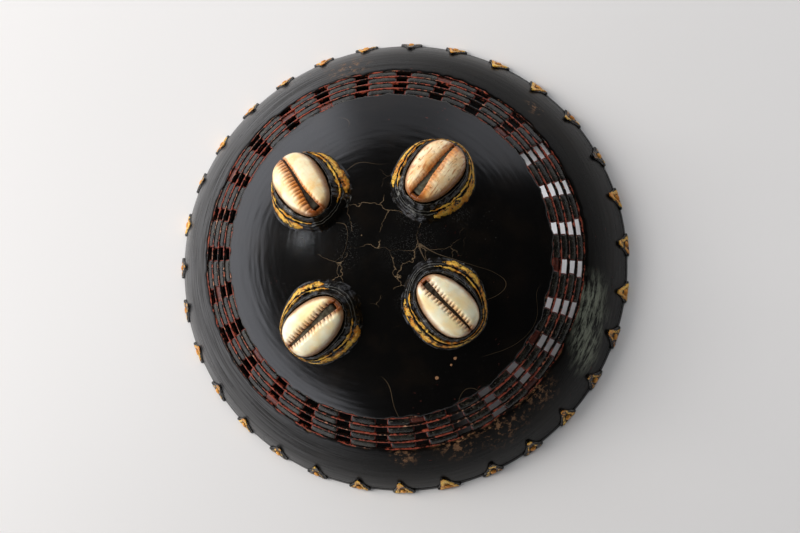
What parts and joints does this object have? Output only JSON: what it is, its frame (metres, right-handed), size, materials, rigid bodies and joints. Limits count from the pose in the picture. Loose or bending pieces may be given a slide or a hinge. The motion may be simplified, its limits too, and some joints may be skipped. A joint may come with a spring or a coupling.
{
  "type": "openwork lacquer bowl with shell feet",
  "caption": "Shallow black-lacquered cane bowl with an openwork band, gilt petals round the rim and cowrie-shell feet, resting mouth down.",
  "frame": {"origin": "centre of the rim plane, which the bowl rests on when it stands mouth down", "axes": "+Z along the bowl's axis from the rim towards the feet; +X and +Y lie in the rim plane, with the feet near the diagonals"},
  "size_m": [0.1514, 0.1515, 0.0516],
  "materials": {
    "bamboo_core": "split bamboo",
    "black_lacquer": "worn gloss lacquer",
    "red_lacquer": "satin lacquer",
    "hoop_cane": "stained cane",
    "spacer_lacquer": "lacquered cane",
    "moulded_lacquer": "hand-moulded lacquer putty",
    "gold_leaf": "worn gold leaf",
    "cowrie_shell": "porcelain gloss",
    "grey_putty": "dry putty"
  },
  "bodies": {
    "root": {"base_core": "bamboo_core", "base_inner_lacquer": "red_lacquer", "base_outer_lacquer": "black_lacquer", "cowrie_1": "cowrie_shell", "cowrie_2": "cowrie_shell", "cowrie_3": "cowrie_shell", "cowrie_4": "cowrie_shell", "cowrie_putty_1": "grey_putty", "cowrie_putty_2": "grey_putty", "cowrie_putty_3": "grey_putty", "cowrie_putty_4": "grey_putty", "foot_collar_1": "moulded_lacquer", "foot_collar_2": "moulded_lacquer", "foot_collar_3": "moulded_lacquer", "foot_collar_4": "moulded_lacquer", "foot_cup_1": "moulded_lacquer", "foot_cup_2": "moulded_lacquer", "foot_cup_3": "moulded_lacquer", "foot_cup_4": "moulded_lacquer", "gilt_horseshoe_1": "gold_leaf", "gilt_horseshoe_2": "gold_leaf", "gilt_horseshoe_3": "gold_leaf", "gilt_horseshoe_4": "gold_leaf", "openwork_hoop_1": "hoop_cane", "openwork_hoop_2": "hoop_cane", "openwork_hoop_3": "hoop_cane", "openwork_hoop_4": "hoop_cane", "openwork_hoop_5": "hoop_cane", "openwork_spacers_1": "spacer_lacquer", "openwork_spacers_2": "spacer_lacquer", "openwork_spacers_3": "spacer_lacquer", "openwork_spacers_4": "spacer_lacquer", "petal_buttons": "gold_leaf", "petal_gilding": "gold_leaf", "petal_plates": "moulded_lacquer", "rim_hoop": "black_lacquer", "wall_core": "bamboo_core", "wall_inner_lacquer": "red_lacquer", "wall_outer_lacquer": "black_lacquer"}
  },
  "joints": []
}
